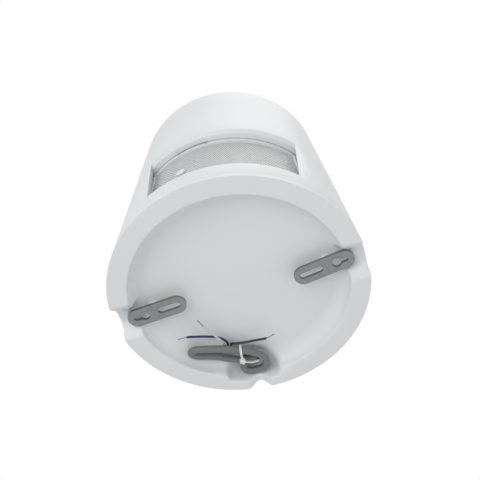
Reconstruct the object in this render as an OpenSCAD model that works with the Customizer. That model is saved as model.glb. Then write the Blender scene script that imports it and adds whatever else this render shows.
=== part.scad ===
// Garden speaker: a tapered plastic housing with one window, on a dished base.
// It stands on the rim of its base. The window faces -Y and the cable leaves by the +Y groove.

/* [Housing] */
// Diameter at the rim that it stands on
base_d = 220; // [200:1:240]
// Diameter at the closed top
top_d = 182; // [170:1:196]
// Overall height
height = 222; // [200:1:260]
// Wall of the housing
wall = 4; // [3:0.5:5]
// Rounding of the top edge
top_edge = 5; // [2:0.5:10]

/* [Window] */
// Height of the window's lower edge above the rim
win_low = 25; // [24:1:34]
// Height of the window's upper edge above the rim
win_high = 103; // [92:1:108]
// Width of the window at its lower edge
win_w_low = 123; // [110:1:128]
// Width of the window at its upper edge
win_w_high = 130; // [112:1:132]
// Depth of the moulded collar round the window
reveal = 7.5; // [6:0.5:8]
// Bevel along the window's upper lip
lip_bevel = 3; // [1:0.5:4]

/* [Grille] */
// Gap between the collar and the grille frame
frame_gap = 0.5; // [0.3:0.1:1]
// Thickness of the grille frame
frame_t = 2; // [1.5:0.5:3]
// Plain strip of the frame that shows under the lip
frame_strip = 5.5; // [4:0.5:8]
// Thickness of the perforated sheet
sheet_t = 1; // [0.8:0.1:1.5]
// Diameter of the sheet's holes
hole_d = 4.2; // [3:0.1:4.6]
// Distance between the sheet's holes
hole_pitch = 7; // [6.5:0.5:9]

/* [Base] */
// Width of the flat rim that touches the ground
rim_w = 17; // [14:1:19]
// Depth of the dished recess
dish_depth = 15; // [13:1:17]
// Radius of the soft foot of the recess wall
dish_round = 13; // [8:1:13]
// Wall of the base moulding
base_wall = 3.2; // [2.5:0.1:3.5]
// Flange that closes the housing's lower edge
flange_t = 4; // [3:0.5:5]
// Height of the spigot that enters the housing
spigot_top = 20; // [18:1:20]
// Clearance between base and housing
fit_gap = 0.2; // [0.1:0.05:0.4]

/* [Cable well] */
// Radius of the round well for the cable
well_r = 22.5; // [20:0.5:24]
// Depth of the well above the rim
well_depth = 21.5; // [20:0.5:24]
// Distance of the well's middle from the middle of the base
well_y = 92; // [90:0.5:94]
// Distance that the well reaches from the middle of the base
well_reach = 100; // [98:0.5:100.5]
// Width of the cable groove at its mouth
groove_w = 21; // [16:1:24]
// Depth of the cable groove
groove_depth = 8; // [6:0.5:9]

/* [Hanging straps] */
// Length of a strap
strap_len = 53; // [48:1:56]
// Width of a strap
strap_w = 17; // [14:1:18]
// Thickness of a strap
strap_t = 3; // [2:0.5:4]
// Height of the strap's lower face above the rim
strap_z = 4; // [2:0.5:5]
// Distance of a strap's stud from the middle of the base
strap_r = 76; // [74:1:77]
// Turn of the line of the two studs about the middle
strap_turn = -8.8; // [-12:0.2:0]
// Swing of the left strap on its stud
tilt_left = -4.3; // [-6:0.1:4]
// Swing of the right strap on its stud
tilt_right = -8.5; // [-9:0.1:4]
// Diameter of the keyhole's wide end
key_d = 8.6; // [7:0.1:9]
// Width of the keyhole's narrow end
key_w = 4.4; // [3:0.1:5]
// Width of the long slot
slot_w = 6; // [4:0.5:7]
// Length of the long slot
slot_len = 20.5; // [16:0.5:21]
// Width of the trough through the rim at its mouth
trough_w = 36; // [30:1:38]
// Depth of the trough through the rim
trough_depth = 11; // [9:0.5:12]
// Diameter of a strap stud
stud_d = 4; // [3:0.5:4]

/* [Driver] */
// Diameter of the driver's flange
driver_d = 92; // [86:1:96]
// Height of the driver's axis above the rim
driver_z = 72; // [70:1:76]
// Distance of the baffle's front face from the middle
baffle_y = 56; // [54:1:58]
// Thickness of the baffle
baffle_t = 5; // [4:0.5:6]
// Diameter of the magnet
magnet_d = 70; // [60:1:80]
// Thickness of the magnet
magnet_t = 14; // [10:1:16]
// Radius of the voice coil
coil_r = 12.5; // [11:0.5:14]

/* [Line transformer] */
// Length of the laminated core
core_l = 48; // [42:1:50]
// Height of the laminated core
core_h = 40; // [36:1:44]
// Stack of the laminated core
core_t = 16; // [12:1:20]
// Distance of the core from the middle
core_y = 32; // [30:1:34]

/* [Cable] */
// Diameter of the cable's jacket
cable_d = 6.5; // [6:0.1:6.8]
// Diameter of an insulated wire
wire_d = 2; // [1.6:0.1:2.2]

/* [Hidden] */
$fn = 96;
eps = 0.01;
plastic = "whitesmoke";
metal = "dimgray";

// Outer radius of the housing at a height
function r_out(z) = base_d / 2 - (base_d - top_d) / 2 * z / height;
// Points of an arc round c from angle a0 to a1
function arc(c, r, a0, a1, n = 8) = [for (i = [0:n]) c + r * [cos(a0 + (a1 - a0) * i / n), sin(a0 + (a1 - a0) * i / n)]];
// Half of the window's width at a height
function win_half(z) = (win_w_low + (win_w_high - win_w_low) * (z - win_low) / (win_high - win_low)) / 2;

// Heights and radii that several pieces share
dish_r = base_d / 2 - rim_w;
dish_top = dish_depth + base_wall;
inner_top = height - wall;
collar_rim = 4;
collar_side = 8;
frame_in = reveal + frame_gap;
sheet_in = frame_in + frame_t;

// Band that follows the housing's taper, between two depths behind its outer face
module band(z1, z2, in1, in2, sweep = 360) {
    rotate([0, 0, -90 - sweep / 2])
        rotate_extrude(angle = sweep)
            polygon([[r_out(z1) - in2, z1], [r_out(z1) - in1, z1], [r_out(z2) - in1, z2], [r_out(z2) - in2, z2]]);
}

// Block with the window's outline, wider by gx and taller by gz, out through the front wall
module window_block(gx = 0, gz = 0) {
    low = win_half(win_low) + gx;
    high = win_half(win_high) + gx;
    rotate([90, 0, 0])
        linear_extrude(base_d)
            polygon([[-low, win_low - gz], [low, win_low - gz], [high, win_high + gz], [-high, win_high + gz]]);
}

// Section of a groove with a soft floor: mouth width w, floor width f, depth d.
// Grown by g it is the groove's own wall, which starts at height z0.
module groove_section(w, f, d, g = 0, z0 = -1) {
    soft = min(f / 2, d * 0.7);
    slope = (w - f) / 2 / d;
    polygon(concat([[w / 2 + g - z0 * slope, z0]],
                   arc([f / 2 - soft + g, d - soft + g], soft, 35, 90, 6),
                   arc([-f / 2 + soft - g, d - soft + g], soft, 90, 145, 6),
                   [[-w / 2 - g + z0 * slope, z0]]));
}

// Groove that runs outwards along a direction, from radius r0
module groove(turn, w, f, d, r0, g = 0, z0 = -1) {
    rotate([0, 0, turn])
        translate([r0 - g, 0, 0])
            rotate([90, 0, 90])
                linear_extrude(base_d / 2 + 5 - r0 + g)
                    groove_section(w, f, d, g, z0);
}

groove_turn = 87.6;
trough_floor = 0.6 * trough_w;
trough_from = 60;
groove_from = 80;

// The three grooves through the rim: a trough under each strap and the cable's groove
module rim_grooves(g = 0, z0 = -1) {
    for (side = [0, 180])
        groove(strap_turn + side, trough_w, trough_floor, trough_depth, trough_from, g, z0);
    groove(groove_turn, groove_w, groove_w / 3, groove_depth, groove_from, g, z0);
}

// Solid cone of the housing's outer face, up to a height
module outer_cone(top, inset = 0) {
    cylinder(h = top, r1 = r_out(0) - inset, r2 = r_out(top) - inset);
}

/* Housing */

rib_t = 2.5;
rib_reach = 6;
baffle_low = spigot_top + 2;
baffle_high = 122;

// Half of the baffle's width at a height, clear of the wall on its front face
function baffle_half(z) = sqrt(pow(r_out(z) - wall, 2) - pow(baffle_y, 2)) - 0.5;

// Upright ribs that hold the baffle's sides, and a stop above it
module baffle_channels() {
    intersection() {
        translate([0, 0, baffle_low + 3])
            cylinder(h = baffle_high - baffle_low + rib_t - 3, r1 = r_out(baffle_low + 3) - wall + 0.5,
                     r2 = r_out(baffle_high + rib_t) - wall + 0.5);
        union() {
            for (side = [-1, 1], y = [-baffle_y - fit_gap - rib_t, -baffle_y + baffle_t + fit_gap])
                translate([side * (baffle_half(baffle_high) - rib_reach + 20) - 20, y, baffle_low])
                    cube([40, rib_t, baffle_high - baffle_low + rib_t]);
            for (side = [-1, 1])
                translate([side * (baffle_half(baffle_high) + 10) - 20, -baffle_y - rib_t, baffle_high + fit_gap])
                    cube([40, baffle_t + 2 * rib_t, rib_t - fit_gap]);
        }
    }
}

lug_z = spigot_top - 8;
lug_out = 1.4;
lug_sweep = 8;

// Ring section of a snap lug on the spigot, grown by g for its pocket
module lug(turn, g = 0) {
    r = r_spigot(lug_z);
    rotate([0, 0, turn - lug_sweep / 2 - g])
        rotate_extrude(angle = lug_sweep + 2 * g)
            polygon([[r - 1, lug_z - g], [r + lug_out + g, lug_z - g], [r + lug_out + g, lug_z + 1], [r - 1, lug_z + 4 + g]]);
}

module lugs(g = 0) {
    for (turn = [40, 140, 220, 320])
        lug(turn, g);
}

module housing() {
    z0 = flange_t;
    zc = height - top_edge;
    color(plastic)
        difference() {
            union() {
                rotate_extrude()
                    polygon(concat([[r_out(z0) - wall, z0], [r_out(z0), z0]],
                                   arc([r_out(zc) - top_edge, zc], top_edge, 5, 90),
                                   [[0, height], [0, inner_top], [r_out(inner_top) - wall, inner_top]]));
                intersection() {
                    band(win_low - collar_rim - 4, win_high + collar_rim + 4, wall - 0.5, reveal);
                    window_block(collar_side, collar_rim);
                }
                baffle_channels();
            }
            window_block();
            intersection() {
                rotate_extrude()
                    polygon([[r_out(win_high) + 1, win_high - 1], [r_out(win_high) + 1, win_high + lip_bevel],
                             [r_out(win_high), win_high + lip_bevel], [r_out(win_high) - lip_bevel, win_high],
                             [r_out(win_high) - lip_bevel, win_high - 1]]);
                translate([-win_half(win_high), -base_d, 0])
                    cube([2 * win_half(win_high), base_d, height]);
            }
            rim_grooves(base_wall + fit_gap);
            lugs(0.3);
        }
}

/* Base */

spigot_t = 3;
seal_z = spigot_top - 2.6;
seal_h = 1.8;
seal_t = 1.6;
boss_d = 7.5;
end_in = 42.5;
end_out = dish_r + 4;
end_w = 25;
end_depth = dish_depth - 1;
core_boss_h = 4;
pad_x = 34;
pad_w = 12;
pad_over = 1.5;
core_foot_x = 31;

// Places one strap's own frame on its stud: x runs outwards along it, z = 0 at the rim
module at_strap(side) {
    rotate([0, 0, strap_turn + side])
        translate([strap_r, 0, 0])
            rotate([0, 0, side == 0 ? tilt_right : tilt_left])
                children();
}

module oblong(l, w, h) {
    linear_extrude(h)
        union() {
            square([l - w, w], center = true);
            for (s = [-1, 1])
                translate([s * (l - w) / 2, 0])
                    circle(d = w);
        }
}

// Outer radius of the spigot at a height
function r_spigot(z) = r_out(z) - wall - fit_gap;
// Curve of the dish from its rim to its floor, grown by g
function dish_curve(g) = arc([dish_r - dish_round, dish_depth - dish_round], dish_round + g, 10, 90);

// The base's turned form: rim, flange, spigot with its seal groove, and dished floor
module base_turned() {
    seal_top = seal_z + seal_h;
    rotate_extrude()
        polygon(concat([[dish_r, 0], [r_out(0), 0], [r_out(flange_t), flange_t], [r_spigot(flange_t), flange_t],
                        [r_spigot(seal_z), seal_z], [r_out(seal_z) - wall - seal_t, seal_z],
                        [r_out(seal_top) - wall - seal_t, seal_top], [r_spigot(seal_top), seal_top],
                        [r_spigot(spigot_top), spigot_top], [r_spigot(spigot_top) - spigot_t, spigot_top],
                        [r_spigot(flange_t) - spigot_t, flange_t], [dish_r + base_wall, flange_t]],
                       [for (p = dish_curve(base_wall)) if (p[1] > flange_t) p],
                       [[0, dish_top], [0, dish_depth]],
                       [for (i = [8:-1:0]) dish_curve(0)[i]]));
}

// The open space inside the dish
module dish_space() {
    rotate_extrude()
        polygon(concat([[0, -1], [dish_r, -1], [dish_r, 0]], dish_curve(0), [[0, dish_depth]]));
}

// The well: a round hollow with a flat floor, grown by g and starting at height z0
module well(g, z0) {
    translate([0, well_y, z0])
        if (g > 0)
            cylinder(h = well_depth + g - z0, r = well_r + g);
        else
            intersection() {
                rotate_extrude()
                    polygon([[0, 0], [well_r, 0], [well_r, dish_depth - 2 - z0], [well_r * 0.6, well_depth - z0], [0, well_depth - z0]]);
                translate([0, -well_y, 0])
                    cylinder(h = well_depth + 2, r = well_reach);
            }
}

// Spaces that the base has beside its dish: the well, the troughs with their square inner ends, the groove
module base_hollows(g = 0, z0 = -1) {
    well(g, z0);
    for (side = [0, 180])
        rotate([0, 0, strap_turn + side])
            translate([(end_in + end_out) / 2, 0, z0])
                oblong(end_out - end_in + 2 * g, end_w + 2 * g, end_depth - z0 + g);
    rim_grooves(g, z0);
}

// Distance of the stud from the strap's middle, in its solid part
stud_x = 2.9;

module at_studs() {
    for (side = [0, 180])
        at_strap(side)
            children();
}

grommet_x = -2;
grommet_y = 88;
grommet_bore = cable_d + 0.2;
grommet_r = 5.6;

module base() {
    color(plastic)
        difference() {
            union() {
                difference() {
                    union() {
                        base_turned();
                        lugs();
                        intersection() {
                            base_hollows(base_wall, 0.5);
                            union() {
                                outer_cone(well_depth + base_wall + 1, wall + seal_t + 0.1);
                                intersection() {
                                    outer_cone(well_depth, 0.6);
                                    rim_grooves(base_wall, 0.5);
                                }
                            }
                        }
                    }
                    dish_space();
                    base_hollows();
                }
                at_studs()
                    translate([0, 0, strap_z + strap_t])
                        cylinder(h = dish_depth + 1 - strap_z - strap_t, d = boss_d);
                for (s = [-1, 1])
                    translate([s * pad_x - pad_w / 2, -baffle_y - pad_over, dish_depth + 1])
                        cube([pad_w, baffle_t + 2 * pad_over, baffle_low - fit_gap - dish_depth - 1]);
                for (s = [-1, 1])
                    translate([s * core_foot_x, core_y, dish_depth + 1])
                        cylinder(h = base_wall + core_boss_h - 1, d = 9);
            }
            at_studs()
                cylinder(h = 40, d = stud_d + 0.3);
            translate([grommet_x, grommet_y, 0])
                cylinder(h = 40, r = grommet_r);
            for (s = [-1, 1])
                translate([s * core_foot_x, core_y, dish_depth + 1.5])
                    cylinder(h = 20, d = 3);
        }
}

module base_seal() {
    color("black")
        band(seal_z, seal_z + seal_h, wall, wall + seal_t);
}

/* Grille */

frame_low = win_low - 3;
frame_top = win_high + 6;
frame_sweep = 94;
open_sweep = 84;
pad_a = 44.2;
tab_from = -24;
tab_to = -7.5;
slit = 2;
slit_z = win_high - 1.2;

// Slice of a band between two angles, 0 at the middle of the window
module band_slice(z1, z2, in1, in2, a1, a2) {
    rotate([0, 0, -90 + a1])
        rotate_extrude(angle = a2 - a1)
            polygon([[r_out(z1) - in2, z1], [r_out(z1) - in1, z1], [r_out(z2) - in1, z2], [r_out(z2) - in2, z2]]);
}

module grille_frame() {
    open_top = win_high - frame_strip;
    color(plastic)
        difference() {
            union() {
                band(frame_low, frame_top, frame_in, frame_in + frame_t, frame_sweep);
                for (side = [-1, 1], z = [[frame_low, frame_low + 5], [frame_top - 5, frame_top]])
                    band_slice(z[0], z[1], reveal, frame_in + 0.5, side * pad_a - 1.5, side * pad_a + 1.5);
            }
            band(frame_low + 2.5, open_top, frame_in - 1, frame_in + frame_t + 1, open_sweep);
            band_slice(slit_z, slit_z + slit, frame_in - 1, frame_in + frame_t + 1, tab_from - 0.6, tab_to + 0.6);
            for (a = [tab_from, tab_to])
                band_slice(open_top + 1, slit_z + slit / 2, frame_in - 1, frame_in + frame_t + 1, a - 0.35, a + 0.35);
        }
}

strip_n = 25;
strip_step = frame_sweep / strip_n;
sheet_top = frame_top - 2;
taper = atan((base_d - top_d) / 2 / height);
hole_rows = floor((win_high - frame_strip - win_low) / hole_pitch);
plain_strips = 1;

// The sheet is rolled in narrow flats, each with one column of holes square to it
module grille_strip(j) {
    z_mid = (frame_low + sheet_top) / 2;
    low = (win_low + win_high - frame_strip) / 2 - z_mid;
    edge = strip_step / 2 + 0.05;
    sag = r_out(frame_low) * (1 - cos(edge));
    rotate([0, 0, (j - (strip_n - 1) / 2) * strip_step])
        intersection() {
            translate([0, sheet_in + sag - r_out(z_mid), z_mid])
                rotate([90 - taper, 0, 0])
                    translate([0, 0, -sheet_t])
                        linear_extrude(sheet_t)
                            difference() {
                                square([2 * hole_pitch, sheet_top - frame_low], center = true);
                                if (j >= plain_strips && j < strip_n - plain_strips)
                                    for (i = [0:hole_rows - 1])
                                        translate([0, low + (i - (hole_rows - 1) / 2 + (j % 2) / 2 - 0.25) * hole_pitch])
                                            circle(d = hole_d);
                            }
            linear_extrude(height)
                polygon([[0, 0], base_d * [-sin(edge), -cos(edge)], base_d * [sin(edge), -cos(edge)]]);
        }
}

module grille() {
    color("white")
        for (j = [0:strip_n - 1])
            grille_strip(j);
}

// Blank plate where a badge sits on the grille
module badge_blank() {
    badge_a = -21.5;
    badge_z = 58;
    color(plastic)
        intersection() {
            band(badge_z - 6, badge_z + 6, frame_in + 0.4, sheet_in, 100);
            rotate([0, 0, badge_a])
                translate([0, 0, badge_z])
                    rotate([90, 0, 0])
                        cylinder(h = base_d, d = 9);
        }
}

/* Driver and baffle */

basket_r = driver_d / 2 - 7.5;
cut_r = basket_r + 0.5;
gasket_t = 1.5;
flange_h = 2.5;
screw_r = driver_d / 2 - 3.6;
back_z = -27;
plate_t = 4;
pole_r = coil_r - 1.2;
cone_r = basket_r - 7;
roll_r = 2.8;
neck_r = 27;
spider_z = -18;
// Inner radius of the basket's sloping side at a height
function basket_in(z) = neck_r + (z - back_z - 2) * (basket_r - 2.2 - neck_r) / (gasket_t + flange_h - 4.4 - back_z);
spider_r = basket_in(spider_z) - 0.05;

// Places the driver's own frame: z runs out of the window, 0 on the baffle's front face
module at_driver() {
    translate([0, -baffle_y, driver_z])
        rotate([90, 0, 0])
            children();
}

module at_driver_screws() {
    for (a = [45:90:315])
        rotate([0, 0, a])
            translate([screw_r, 0, 0])
                children();
}

module baffle() {
    color("burlywood")
        difference() {
            translate([0, -baffle_y + baffle_t, 0])
                rotate([90, 0, 0])
                    linear_extrude(baffle_t)
                        polygon([[-baffle_half(baffle_low), baffle_low], [baffle_half(baffle_low), baffle_low],
                                 [baffle_half(baffle_high), baffle_high], [-baffle_half(baffle_high), baffle_high]]);
            at_driver() {
                translate([0, 0, -baffle_t - 1])
                    cylinder(h = baffle_t + 2, r = cut_r);
                at_driver_screws()
                    translate([0, 0, -baffle_t - 1])
                        cylinder(h = baffle_t + 2, d = 3);
            }
        }
}

module driver_gasket() {
    color("black")
        at_driver()
            difference() {
                cylinder(h = gasket_t, d = driver_d);
                translate([0, 0, -1])
                    cylinder(h = gasket_t + 2, r = basket_r + 1.5);
                at_driver_screws()
                    translate([0, 0, -1])
                        cylinder(h = gasket_t + 2, d = 3.6);
            }
}

module driver_basket() {
    z_top = gasket_t + flange_h;
    color("slategray")
        at_driver()
            difference() {
                rotate_extrude()
                    polygon([[basket_r - 2, gasket_t], [basket_r, gasket_t], [driver_d / 2, gasket_t], [driver_d / 2, z_top],
                             [basket_r - 4.5, z_top], [basket_r - 4.5, z_top - 1.2], [basket_r - 2.2, z_top - 2.4],
                             [neck_r, back_z + 2], [16, back_z + 2], [16, back_z], [29, back_z], [basket_r, -3]]);
                at_driver_screws()
                    cylinder(h = 20, d = 3.6);
                for (a = [0:60:300])
                    rotate([0, 0, a])
                        translate([29, 0, back_z + 14])
                            rotate([0, 90, 0])
                                linear_extrude(20)
                                    square([13, 20], center = true);
            }
}

module driver_surround() {
    z_top = gasket_t + flange_h;
    mid = (cone_r + basket_r - 2) / 2;
    color("black")
        at_driver()
            rotate_extrude()
                polygon(concat([[basket_r - 1, z_top], [basket_r - 1, z_top + 0.8]],
                               arc([mid, z_top + 0.8], roll_r, 0, 180, 10),
                               [[cone_r - 2, z_top + 0.8], [cone_r - 2, z_top]],
                               arc([mid, z_top], roll_r - 0.8, 180, 0, 10)));
}

module driver_cone() {
    z_top = gasket_t + flange_h;
    color("dimgray")
        at_driver()
            rotate_extrude()
                polygon(concat([[cone_r, z_top - 1], [cone_r, z_top], [cone_r - 1.5, z_top]],
                               [[coil_r + 0.8, -15], [coil_r + 0.8, -16]]));
}

module dust_cap() {
    color("black")
        at_driver()
            intersection() {
                translate([0, 0, -22])
                    difference() {
                        sphere(r = 18);
                        sphere(r = 17.2);
                    }
                translate([0, 0, -11])
                    cylinder(h = 10, r = 20);
            }
}

module spider() {
    color("goldenrod")
        at_driver()
            rotate_extrude()
                polygon([[coil_r + 0.8, -18], [19, -18], [21, -16], [23, -18], [25, -16], [27, -18], [spider_r, -18],
                         [spider_r, -17], [27.2, -17], [25, -15], [23, -17], [21, -15], [18.8, -17], [coil_r + 0.8, -17]]);
}

module voice_coil() {
    color("peru")
        at_driver()
            translate([0, 0, back_z - 8])
                difference() {
                    cylinder(h = 24, r = coil_r + 0.8);
                    translate([0, 0, -1])
                        cylinder(h = 26, r = coil_r);
                }
}

module top_plate() {
    color("silver")
        at_driver()
            translate([0, 0, back_z - plate_t])
                difference() {
                    cylinder(h = plate_t, d = magnet_d - 6);
                    translate([0, 0, -1])
                        cylinder(h = plate_t + 2, r = coil_r + 1.4);
                }
}

module magnet() {
    color("black")
        at_driver()
            translate([0, 0, back_z - plate_t - magnet_t])
                difference() {
                    cylinder(h = magnet_t, d = magnet_d);
                    translate([0, 0, -1])
                        cylinder(h = magnet_t + 2, r = coil_r + 4);
                }
}

module back_plate() {
    color("silver")
        at_driver()
            translate([0, 0, back_z - 2 * plate_t - magnet_t]) {
                cylinder(h = plate_t, d = magnet_d - 6);
                cylinder(h = 2 * plate_t + magnet_t, r = pole_r);
            }
}

// Round-headed screw, head upwards on z = 0, shank down
module screw(head_d, head_h, shank_d, shank_l) {
    cylinder(h = head_h, d1 = head_d, d2 = head_d * 0.7);
    translate([0, 0, -shank_l])
        cylinder(h = shank_l + eps, d = shank_d);
}

module driver_screws() {
    color(metal)
        at_driver()
            at_driver_screws()
                translate([0, 0, gasket_t + flange_h])
                    screw(6.4, 2, 3, 8);
}

/* Line transformer */

core_z = dish_top + core_boss_h;
limb = core_l / 6;

module transformer_core() {
    color("slategray")
        translate([0, core_y, core_z + core_h / 2])
            difference() {
                cube([core_l, core_t, core_h], center = true);
                for (s = [-1, 1])
                    translate([s * core_l / 4, 0, 0])
                        cube([limb, core_t + 2, core_h - 2 * limb], center = true);
            }
}

module transformer_coil() {
    space = core_h - 2 * limb;
    color("gold")
        translate([0, core_y, core_z + core_h / 2])
            difference() {
                cube([core_l - 2 * limb - 0.2, core_t + 2 * limb, space - 0.2], center = true);
                cube([core_l / 3 + 0.2, core_t + 0.2, space + 1], center = true);
            }
}

module transformer_bracket() {
    t = 1;
    side = core_l / 2;
    reach = core_foot_x + 5;
    color("silver")
        translate([0, core_y, core_z])
            difference() {
                translate([0, (core_t - 4) / 2, 0])
                    rotate([90, 0, 0])
                        linear_extrude(core_t - 4)
                            polygon([[-reach, 0], [-side, 0], [-side, core_h], [side, core_h], [side, 0], [reach, 0],
                                     [reach, t], [side + t, t], [side + t, core_h + t], [-side - t, core_h + t],
                                     [-side - t, t], [-reach, t]]);
                for (s = [-1, 1])
                    translate([s * core_foot_x, 0, -1])
                        cylinder(h = 4, d = 3.4);
            }
}

module transformer_screws() {
    color(metal)
        for (s = [-1, 1])
            translate([s * core_foot_x, core_y, core_z + 1])
                screw(6, 2, 2.9, 6);
}

/* Hanging straps */

// One strap with its welded stud
module strap(side) {
    middle = -stud_x;
    slot_x = middle - strap_len / 2 + 5 + slot_len / 2;
    key_x = middle + strap_len / 2 - 15.4;
    key_end = middle + strap_len / 2 - 5.5 - key_w / 2;
    color(metal)
        at_strap(side) {
            translate([0, 0, strap_z])
                difference() {
                    translate([middle, 0, 0])
                        oblong(strap_len, strap_w, strap_t);
                    translate([slot_x, 0, -1])
                        oblong(slot_len, slot_w, strap_t + 2);
                    translate([key_x, 0, -1])
                        cylinder(h = strap_t + 2, d = key_d);
                    translate([key_end, 0, -1])
                        cylinder(h = strap_t + 2, d = key_w);
                    translate([key_x, -key_w / 2, -1])
                        cube([key_end - key_x, key_w, strap_t + 2]);
                }
            translate([0, 0, strap_z + strap_t - 0.5])
                cylinder(h = dish_top + 6 - strap_z - strap_t, d = stud_d);
        }
}

module strap_left() {
    strap(180);
}

module strap_right() {
    strap(0);
}

washer_t = 0.8;
module strap_washers() {
    color("silver")
        at_studs()
            translate([0, 0, dish_top])
                difference() {
                    cylinder(h = washer_t, d = 8);
                    translate([0, 0, -1])
                        cylinder(h = washer_t + 2, d = stud_d + 0.3);
                }
}

module strap_nuts() {
    color("silver")
        at_studs()
            translate([0, 0, dish_top + washer_t])
                difference() {
                    cylinder(h = 3.2, d = 7.6, $fn = 6);
                    translate([0, 0, -1])
                        cylinder(h = 6, d = stud_d);
                }
}

/* Cable */

grommet_lip = 1.6;
module cable_grommet() {
    top = well_depth + base_wall;
    color("dimgray")
        translate([grommet_x, grommet_y, 0])
            rotate_extrude()
                polygon([[grommet_bore / 2, well_depth - grommet_lip], [grommet_r + 1.4, well_depth - grommet_lip],
                         [grommet_r + 1.8, well_depth], [grommet_r, well_depth], [grommet_r, top],
                         [grommet_r + 1.4, top], [grommet_r + 1, top + grommet_lip], [grommet_bore / 2, top + grommet_lip]]);
}

// Unit vector along v
function unit(v) = v / norm(v);
// Direction of travel at point i of a route
function way(p, i) = unit(p[min(i + 1, len(p) - 1)] - p[max(i - 1, 0)]);
// Side vector that is carried along the route without twisting
function carry(u, t) = unit(u - (u * t) * t);
function sides(p, i = 0, u = [1, 0.3, 0.1], acc = []) =
    i == len(p) ? acc : let (s = carry(u, way(p, i))) sides(p, i + 1, s, concat(acc, [s]));

// Tube along a route of points, with n sides
module tube(p, d, n) {
    side = sides(p);
    pts = [for (i = [0:len(p) - 1], k = [0:n - 1])
        let (t = way(p, i), u = side[i], v = cross(t, u), a = 360 * k / n)
        p[i] + d / 2 * (u * cos(a) + v * sin(a))];
    m = len(p) - 1;
    walls = [for (i = [0:m - 1], k = [0:n - 1])
        [i * n + k, i * n + (k + 1) % n, (i + 1) * n + (k + 1) % n, (i + 1) * n + k]];
    polyhedron(pts, concat([[for (k = [0:n - 1]) n - 1 - k]], [[for (k = [0:n - 1]) m * n + k]], walls));
}

// Route of the cable, from the grommet through one turn in the well to a hairpin and back
cable_route = [
    [-2, 88, 24.4], [-2, 88, 20.5], [-2.3, 88.2, 18.3], [-3.6, 89, 16], [-6, 90.5, 13.8], [-8.5, 92.8, 11.7], [-6.5, 95, 10.6],
    [-1, 96.2, 10], [5, 95, 9.5], [10, 92, 8.7], [12.5, 87, 7.8], [12.2, 81, 6.8], [9.2, 76, 6],
    [4, 72, 5.6], [-3, 68.5, 5.4], [-11, 65.5, 5.2], [-20, 63, 5.2], [-30, 61.2, 5.2], [-38, 60.3, 5.4],
    [-45, 60, 6], [-50, 61.5, 7.2], [-52.5, 65, 8.6], [-50.5, 69, 9.6], [-45, 71.5, 10.2],
    [-38, 73, 10.6], [-30, 75.5, 11], [-22, 78.8, 11.1], [-16.5, 80.8, 11], [-10.5, 82.2, 10.8], [-4.5, 82.9, 10.6]];

module cable() {
    color("gray")
        tube(cable_route, cable_d, 12);
}

// The cable's inner end, from the grommet up to the transformer
module inner_cable() {
    color("gray")
        tube([[-2, 88, 24.4], [-2, 88, 31], [-2, 86, 37], [-2, 79.5, 42.3], [-2, 70, 45.2], [-2, 60, 46], [-2, 48.2, 46]],
             cable_d, 12);
}

// The three wires, from the jacket's end to their bared tips
module wire_blue() {
    color("darkblue")
        tube([[-3.9, 81.8, 10.2], [-2.8, 80.9, 10], [-2.6, 78.4, 9.6], [-4, 76.8, 9.3], [-7, 76.2, 9.3],
              [-12, 75, 9.8], [-16.5, 72.2, 10.8], [-18.6, 68.8, 11.9], [-19, 64.5, 11.9], [-19, 60.4, 10.4],
              [-20, 56, 8.2], [-22.5, 52, 6.8], [-27, 48.4, 5.6], [-34, 45.4, 4.4], [-43, 43.2, 3.6], [-52, 41.8, 2.9],
              [-60, 42.6, 2.4]], wire_d, 8);
}

module wire_white() {
    color("gainsboro")
        tube([[-3.9, 82.9, 12], [-2, 82.6, 11.9], [0, 80.4, 11.4], [0, 76.8, 10.4], [-2.5, 74.4, 9.8], [-7, 73.5, 9.6],
              [-13, 71.6, 8.8], [-17, 69, 8.8], [-21.2, 65.8, 9.5], [-22, 61.5, 9.4], [-22, 57.5, 7.4], [-23, 53.6, 5.2],
              [-26, 48, 3.7], [-30, 41.4, 3.4], [-35, 34, 3.2], [-40, 25, 3]], wire_d, 8);
}

module wire_black() {
    color("black")
        tube([[-3.9, 83.9, 10.2], [-1.8, 83.9, 9.8], [1.6, 81, 8.9], [2.2, 77.4, 8], [0, 75, 7.6], [-3.5, 73.2, 7.2],
              [-8, 71.6, 7.2], [-13, 69.6, 8], [-15.6, 66.6, 9.8], [-15.9, 62.4, 9.3], [-15, 59.6, 7.6],
              [-10, 58.4, 5.6], [-3, 57.4, 4.4], [6, 56.2, 3.8], [16, 55, 3.2], [23, 51.6, 3]], wire_d, 8);
}

tie_x = -8;
tie_w = 2.5;
tail_r = 11.5;
tie_t = 1;
tie_gap = 0.5;
tie_ends = [[66.6, 5.3], [82.6, 10.7]];

// Outline round both strands where the tie holds them, grown by g
module tie_outline(g) {
    hull()
        for (c = tie_ends)
            translate(c)
                circle(r = cable_d / 2 + g, $fn = 24);
}

// The tie: a closed loop round both strands, with its square head and curled tail
module cable_tie() {
    color("white")
        union() {
            translate([tie_x - tie_w / 2, 0, 0])
                rotate([90, 0, 90])
                    linear_extrude(tie_w)
                        difference() {
                            tie_outline(tie_gap + tie_t);
                            tie_outline(tie_gap);
                        }
            translate([tie_x, 78.8, 4.3])
                rotate([19, 0, 0])
                    cube([5, 4.6, 3.4], center = true);
            translate([tie_x + 8.6, 69.8, 4.2])
                rotate([0, 0, 61])
                    rotate_extrude(angle = 73)
                        translate([tail_r, -tie_w / 2])
                            square([tie_t, tie_w]);
        }
}

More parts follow.
